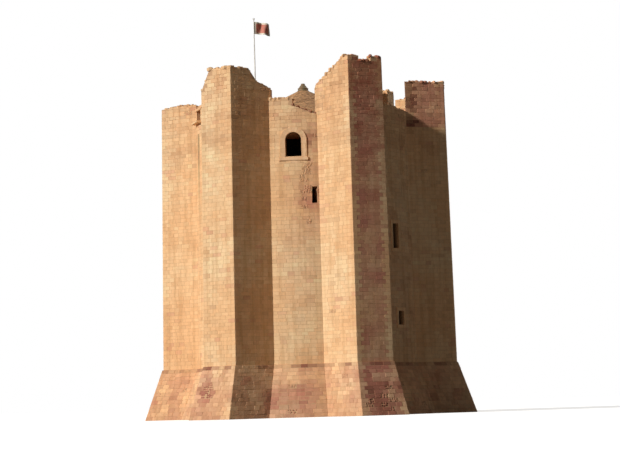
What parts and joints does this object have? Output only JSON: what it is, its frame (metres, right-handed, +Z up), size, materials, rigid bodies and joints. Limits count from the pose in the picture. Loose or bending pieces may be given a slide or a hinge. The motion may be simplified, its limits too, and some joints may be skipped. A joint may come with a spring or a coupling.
{
  "type": "castle keep",
  "caption": "Round limestone castle keep with six solid buttresses on a splayed plinth, ruined turrets, parapet, conical roof, arched window, raised doorway and flag.",
  "frame": {"origin": "centre of the keep on the ground", "axes": "+Z up; the wall with the arched window over the stair light faces -Y, the doorway faces +Y"},
  "size_m": [27.11, 25.457, 32.12],
  "materials": {
    "rubble_masonry": "coursed limestone, weathered",
    "dressed_limestone": "dressed limestone",
    "paving_stone": "worn limestone",
    "oak": "sawn oak",
    "shingles": "weathered oak shingles",
    "copper": "green weathered copper",
    "painted_pole": "white paint, weathered",
    "flag_cloth": "woven flag cloth"
  },
  "bodies": {
    "root": {"basement_floor": "paving_stone", "basement_vault": "paving_stone", "hall_beams": "oak", "hall_floor": "oak", "chamber_beams": "oak", "chamber_floor": "oak", "buttress_front_left": "rubble_masonry", "buttress_front_right": "rubble_masonry", "buttress_right": "rubble_masonry", "buttress_back_right": "rubble_masonry", "buttress_back_left": "rubble_masonry", "buttress_left": "rubble_masonry", "wall_front_below_window": "rubble_masonry", "wall_front_at_window": "rubble_masonry", "wall_front_right": "rubble_masonry", "wall_back_right": "rubble_masonry", "wall_back_left": "rubble_masonry", "wall_front_left": "rubble_masonry", "wall_back_below_door": "rubble_masonry", "wall_back_door_left": "rubble_masonry", "wall_back_door_right": "rubble_masonry", "wall_back_above_door": "rubble_masonry", "window_dressing_front": "dressed_limestone", "window_dressing_back": "dressed_limestone", "slit_dressings": "dressed_limestone", "doorway_dressing": "dressed_limestone", "turret_front_left_walls": "rubble_masonry", "turret_front_right_walls": "rubble_masonry", "turret_right_walls": "rubble_masonry", "turret_back_right_walls": "rubble_masonry", "turret_back_left_walls": "rubble_masonry", "turret_left_walls": "rubble_masonry", "parapet_front_wall": "rubble_masonry", "parapet_front_right_wall": "rubble_masonry", "parapet_back_right_wall": "rubble_masonry", "parapet_back_wall": "rubble_masonry", "parapet_back_left_wall": "rubble_masonry", "parapet_front_left_wall": "rubble_masonry", "wall_walk_paving": "paving_stone", "roof_curb": "rubble_masonry", "wall_plate": "oak", "king_post": "oak", "rafters": "oak", "roof_covering": "shingles", "roof_cap": "copper", "flagpole": "painted_pole", "flag": "flag_cloth"}
  },
  "joints": []
}
